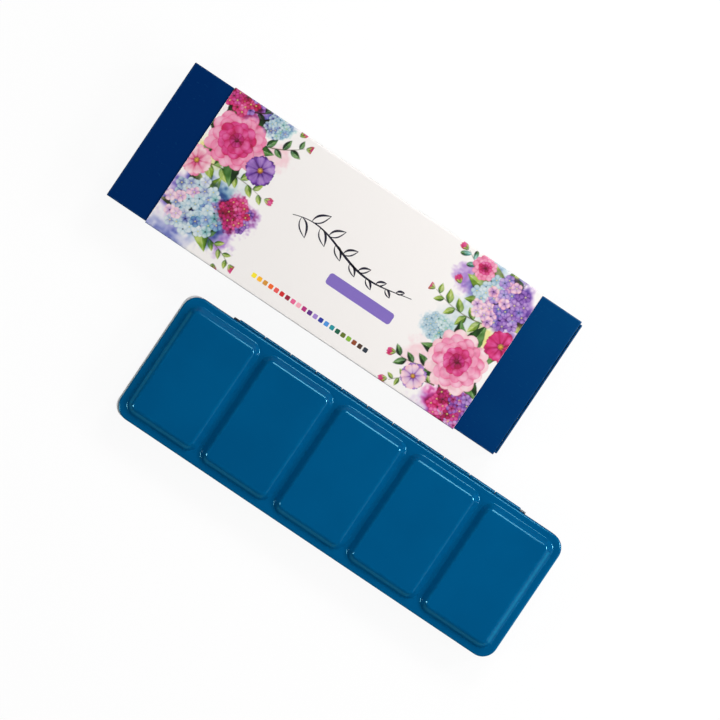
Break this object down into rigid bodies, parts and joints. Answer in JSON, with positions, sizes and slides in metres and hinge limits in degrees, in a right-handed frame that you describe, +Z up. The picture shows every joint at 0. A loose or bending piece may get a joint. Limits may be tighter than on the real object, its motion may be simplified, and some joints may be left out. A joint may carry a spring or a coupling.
{
  "type": "watercolor pan set",
  "caption": "Hinged enamelled steel tin of full watercolor pans, its lid pressed with mixing wells, beside its slip-case carton with a printed sliding band.",
  "frame": {"origin": "the middle of the surface that the set stands on: bottom centre of the box round tin and carton", "axes": "+X along the tin's long side, +Y from the tin's front edge towards its hinge and the carton, +Z up"},
  "size_m": [0.2854, 0.1668, 0.0296],
  "materials": {
    "teal_enamel": "gloss teal blue enamel on pressed steel",
    "pin_steel": "plain steel wire",
    "rack_steel": "white enamel on folded steel",
    "pan_plastic": "white moulded plastic",
    "navy_board": "satin navy board",
    "band_card": "satin white card with a printed floral design",
    "paint_01": "dried lemon watercolor",
    "paint_02": "dried warm yellow watercolor",
    "paint_03": "dried golden ochre watercolor",
    "paint_04": "dried orange watercolor",
    "paint_05": "dried coral watercolor",
    "paint_06": "dried scarlet watercolor",
    "paint_07": "dried carmine watercolor",
    "paint_08": "dried rose pink watercolor",
    "paint_09": "dried pale pink watercolor",
    "paint_10": "dried magenta watercolor",
    "paint_11": "dried violet watercolor",
    "paint_12": "dried lilac watercolor",
    "paint_13": "dried ultramarine watercolor",
    "paint_14": "dried sky blue watercolor",
    "paint_15": "dried turquoise watercolor",
    "paint_16": "dried deep green watercolor",
    "paint_17": "dried olive green watercolor",
    "paint_18": "dried fresh green watercolor",
    "paint_19": "dried burnt sienna watercolor",
    "paint_20": "dried umber watercolor",
    "paint_21": "dried payne grey watercolor"
  },
  "bodies": {
    "tin": {"tin_base": "teal_enamel", "hinge_pin": "pin_steel", "pan_rack": "rack_steel"},
    "lid": {"tin_lid": "teal_enamel"},
    "carton": {"carton_case": "navy_board"},
    "tray": {"carton_tray": "navy_board"},
    "band": {"printed_band": "band_card"},
    "pan_01": {"pan_01": "pan_plastic", "paint_01": "paint_01"},
    "pan_02": {"pan_02": "pan_plastic", "paint_02": "paint_02"},
    "pan_03": {"pan_03": "pan_plastic", "paint_03": "paint_03"},
    "pan_04": {"pan_04": "pan_plastic", "paint_04": "paint_04"},
    "pan_05": {"pan_05": "pan_plastic", "paint_05": "paint_05"},
    "pan_06": {"pan_06": "pan_plastic", "paint_06": "paint_06"},
    "pan_07": {"pan_07": "pan_plastic", "paint_07": "paint_07"},
    "pan_08": {"pan_08": "pan_plastic", "paint_08": "paint_08"},
    "pan_09": {"pan_09": "pan_plastic", "paint_09": "paint_09"},
    "pan_10": {"pan_10": "pan_plastic", "paint_10": "paint_10"},
    "pan_11": {"pan_11": "pan_plastic", "paint_11": "paint_11"},
    "pan_12": {"pan_12": "pan_plastic", "paint_12": "paint_12"},
    "pan_13": {"pan_13": "pan_plastic", "paint_13": "paint_13"},
    "pan_14": {"pan_14": "pan_plastic", "paint_14": "paint_14"},
    "pan_15": {"pan_15": "pan_plastic", "paint_15": "paint_15"},
    "pan_16": {"pan_16": "pan_plastic", "paint_16": "paint_16"},
    "pan_17": {"pan_17": "pan_plastic", "paint_17": "paint_17"},
    "pan_18": {"pan_18": "pan_plastic", "paint_18": "paint_18"},
    "pan_19": {"pan_19": "pan_plastic", "paint_19": "paint_19"},
    "pan_20": {"pan_20": "pan_plastic", "paint_20": "paint_20"},
    "pan_21": {"pan_21": "pan_plastic", "paint_21": "paint_21"}
  },
  "joints": [
    {"name": "lid_hinge", "type": "hinge", "parent": "tin", "child": "lid", "pos_m": [0.03018, -0.01137, 0.014], "axis": [-1, 0, 0], "range_deg": [0, 180]},
    {"name": "carton_shift", "type": "slide", "parent": "tin", "child": "carton", "axis": [0, 1, 0], "range_m": [0, 0.0685]},
    {"name": "tray_slide", "type": "slide", "parent": "carton", "child": "tray", "axis": [1, 0, 0], "range_m": [0, 0.228]},
    {"name": "band_slide", "type": "slide", "parent": "carton", "child": "band", "axis": [1, 0, 0], "range_m": [-0.206, 0.206]},
    {"name": "pan_01_lift", "type": "slide", "parent": "tin", "child": "pan_01", "axis": [0, 0, 1], "range_m": [0, 0.0075]},
    {"name": "pan_02_lift", "type": "slide", "parent": "tin", "child": "pan_02", "axis": [0, 0, 1], "range_m": [0, 0.0075]},
    {"name": "pan_03_lift", "type": "slide", "parent": "tin", "child": "pan_03", "axis": [0, 0, 1], "range_m": [0, 0.0075]},
    {"name": "pan_04_lift", "type": "slide", "parent": "tin", "child": "pan_04", "axis": [0, 0, 1], "range_m": [0, 0.0075]},
    {"name": "pan_05_lift", "type": "slide", "parent": "tin", "child": "pan_05", "axis": [0, 0, 1], "range_m": [0, 0.0075]},
    {"name": "pan_06_lift", "type": "slide", "parent": "tin", "child": "pan_06", "axis": [0, 0, 1], "range_m": [0, 0.0075]},
    {"name": "pan_07_lift", "type": "slide", "parent": "tin", "child": "pan_07", "axis": [0, 0, 1], "range_m": [0, 0.0075]},
    {"name": "pan_08_lift", "type": "slide", "parent": "tin", "child": "pan_08", "axis": [0, 0, 1], "range_m": [0, 0.0075]},
    {"name": "pan_09_lift", "type": "slide", "parent": "tin", "child": "pan_09", "axis": [0, 0, 1], "range_m": [0, 0.0075]},
    {"name": "pan_10_lift", "type": "slide", "parent": "tin", "child": "pan_10", "axis": [0, 0, 1], "range_m": [0, 0.0075]},
    {"name": "pan_11_lift", "type": "slide", "parent": "tin", "child": "pan_11", "axis": [0, 0, 1], "range_m": [0, 0.0075]},
    {"name": "pan_12_lift", "type": "slide", "parent": "tin", "child": "pan_12", "axis": [0, 0, 1], "range_m": [0, 0.0075]},
    {"name": "pan_13_lift", "type": "slide", "parent": "tin", "child": "pan_13", "axis": [0, 0, 1], "range_m": [0, 0.0075]},
    {"name": "pan_14_lift", "type": "slide", "parent": "tin", "child": "pan_14", "axis": [0, 0, 1], "range_m": [0, 0.0075]},
    {"name": "pan_15_lift", "type": "slide", "parent": "tin", "child": "pan_15", "axis": [0, 0, 1], "range_m": [0, 0.0075]},
    {"name": "pan_16_lift", "type": "slide", "parent": "tin", "child": "pan_16", "axis": [0, 0, 1], "range_m": [0, 0.0075]},
    {"name": "pan_17_lift", "type": "slide", "parent": "tin", "child": "pan_17", "axis": [0, 0, 1], "range_m": [0, 0.0075]},
    {"name": "pan_18_lift", "type": "slide", "parent": "tin", "child": "pan_18", "axis": [0, 0, 1], "range_m": [0, 0.0075]},
    {"name": "pan_19_lift", "type": "slide", "parent": "tin", "child": "pan_19", "axis": [0, 0, 1], "range_m": [0, 0.0075]},
    {"name": "pan_20_lift", "type": "slide", "parent": "tin", "child": "pan_20", "axis": [0, 0, 1], "range_m": [0, 0.0075]},
    {"name": "pan_21_lift", "type": "slide", "parent": "tin", "child": "pan_21", "axis": [0, 0, 1], "range_m": [0, 0.0075]}
  ],
  "couplings": [
    {"joint": "carton_shift", "follows": "lid_hinge", "m_per_rad": 0.021645}
  ]
}
